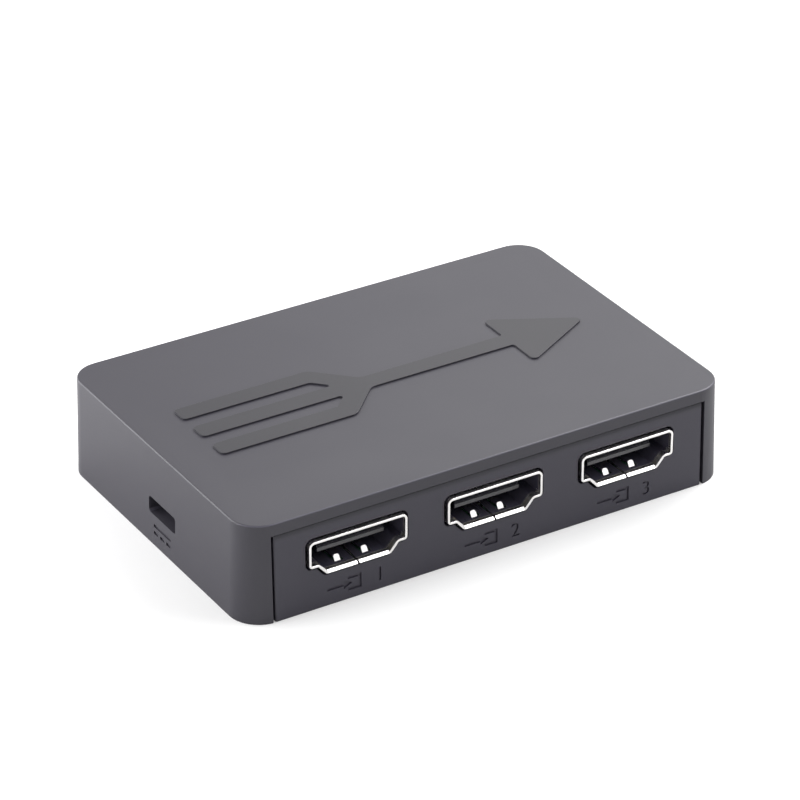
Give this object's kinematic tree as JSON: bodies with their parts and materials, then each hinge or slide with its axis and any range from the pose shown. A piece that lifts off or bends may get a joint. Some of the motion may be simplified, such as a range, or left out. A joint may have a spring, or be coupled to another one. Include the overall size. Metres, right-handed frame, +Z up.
{
  "type": "video switch box",
  "caption": "Small flat switch box that sends one of several video inputs to one output: drafted cover over a base tray with socket panels, a power socket and a push button.",
  "frame": {"origin": "under the middle of the case, on the surface that it stands on", "axes": "+X along the case, with the power socket at the -X end; the input sockets face -Y and the output socket faces +Y; +Z up"},
  "size_m": [0.075, 0.0504, 0.0145],
  "materials": {
    "cover_plastic": "fine moulded texture",
    "tray_plastic": "fine moulded texture",
    "screw_steel": "black zinc",
    "board_mask": "solder mask",
    "shell_metal": "bright plated sheet",
    "tongue_plastic": "black moulded",
    "contact_metal": "gold plated",
    "button_plastic": "satin",
    "switch_plastic": "black moulded",
    "switch_metal": "plated sheet",
    "plunger_plastic": "moulded",
    "clear_plastic": "clear moulded",
    "lamp_resin": "cast resin",
    "chip_resin": "moulded resin",
    "lead_metal": "tinned",
    "can_metal": "bare can",
    "ceramic_chip": "fired ceramic"
  },
  "bodies": {
    "housing": {"top_cover": "cover_plastic", "base_tray": "tray_plastic", "case_screws": "screw_steel", "circuit_board": "board_mask", "input_1_shell": "shell_metal", "input_2_shell": "shell_metal", "input_3_shell": "shell_metal", "output_shell": "shell_metal", "power_shell": "shell_metal", "input_1_tongue": "tongue_plastic", "input_2_tongue": "tongue_plastic", "input_3_tongue": "tongue_plastic", "output_tongue": "tongue_plastic", "power_tongue": "tongue_plastic", "input_1_contacts": "contact_metal", "input_2_contacts": "contact_metal", "input_3_contacts": "contact_metal", "output_contacts": "contact_metal", "power_contacts": "contact_metal", "switch_body": "switch_plastic", "switch_plate": "switch_metal", "switch_dome": "switch_metal", "switch_pins": "switch_metal", "light_guide": "clear_plastic", "indicator_lamps": "lamp_resin", "video_chip": "chip_resin", "control_chip": "chip_resin", "regulator": "chip_resin", "resistors": "chip_resin", "video_chip_leads": "lead_metal", "control_chip_leads": "lead_metal", "crystal": "can_metal", "smoothing_capacitors": "can_metal", "ceramic_capacitors": "ceramic_chip"},
    "button": {"select_button": "button_plastic"},
    "plunger": {"switch_plunger": "plunger_plastic"}
  },
  "joints": [
    {"name": "select_press", "type": "slide", "parent": "housing", "child": "button", "axis": [0, -1, 0], "range_m": [0, 0.0003], "stiffness_N_per_m": 3000, "springref_m": -0.0001, "deforming": ["switch_dome"]},
    {"name": "plunger_press", "type": "slide", "parent": "housing", "child": "plunger", "axis": [0, -1, 0], "range_m": [0, 0.0003]}
  ],
  "couplings": [
    {"joint": "plunger_press", "follows": "select_press", "ratio": 1}
  ]
}
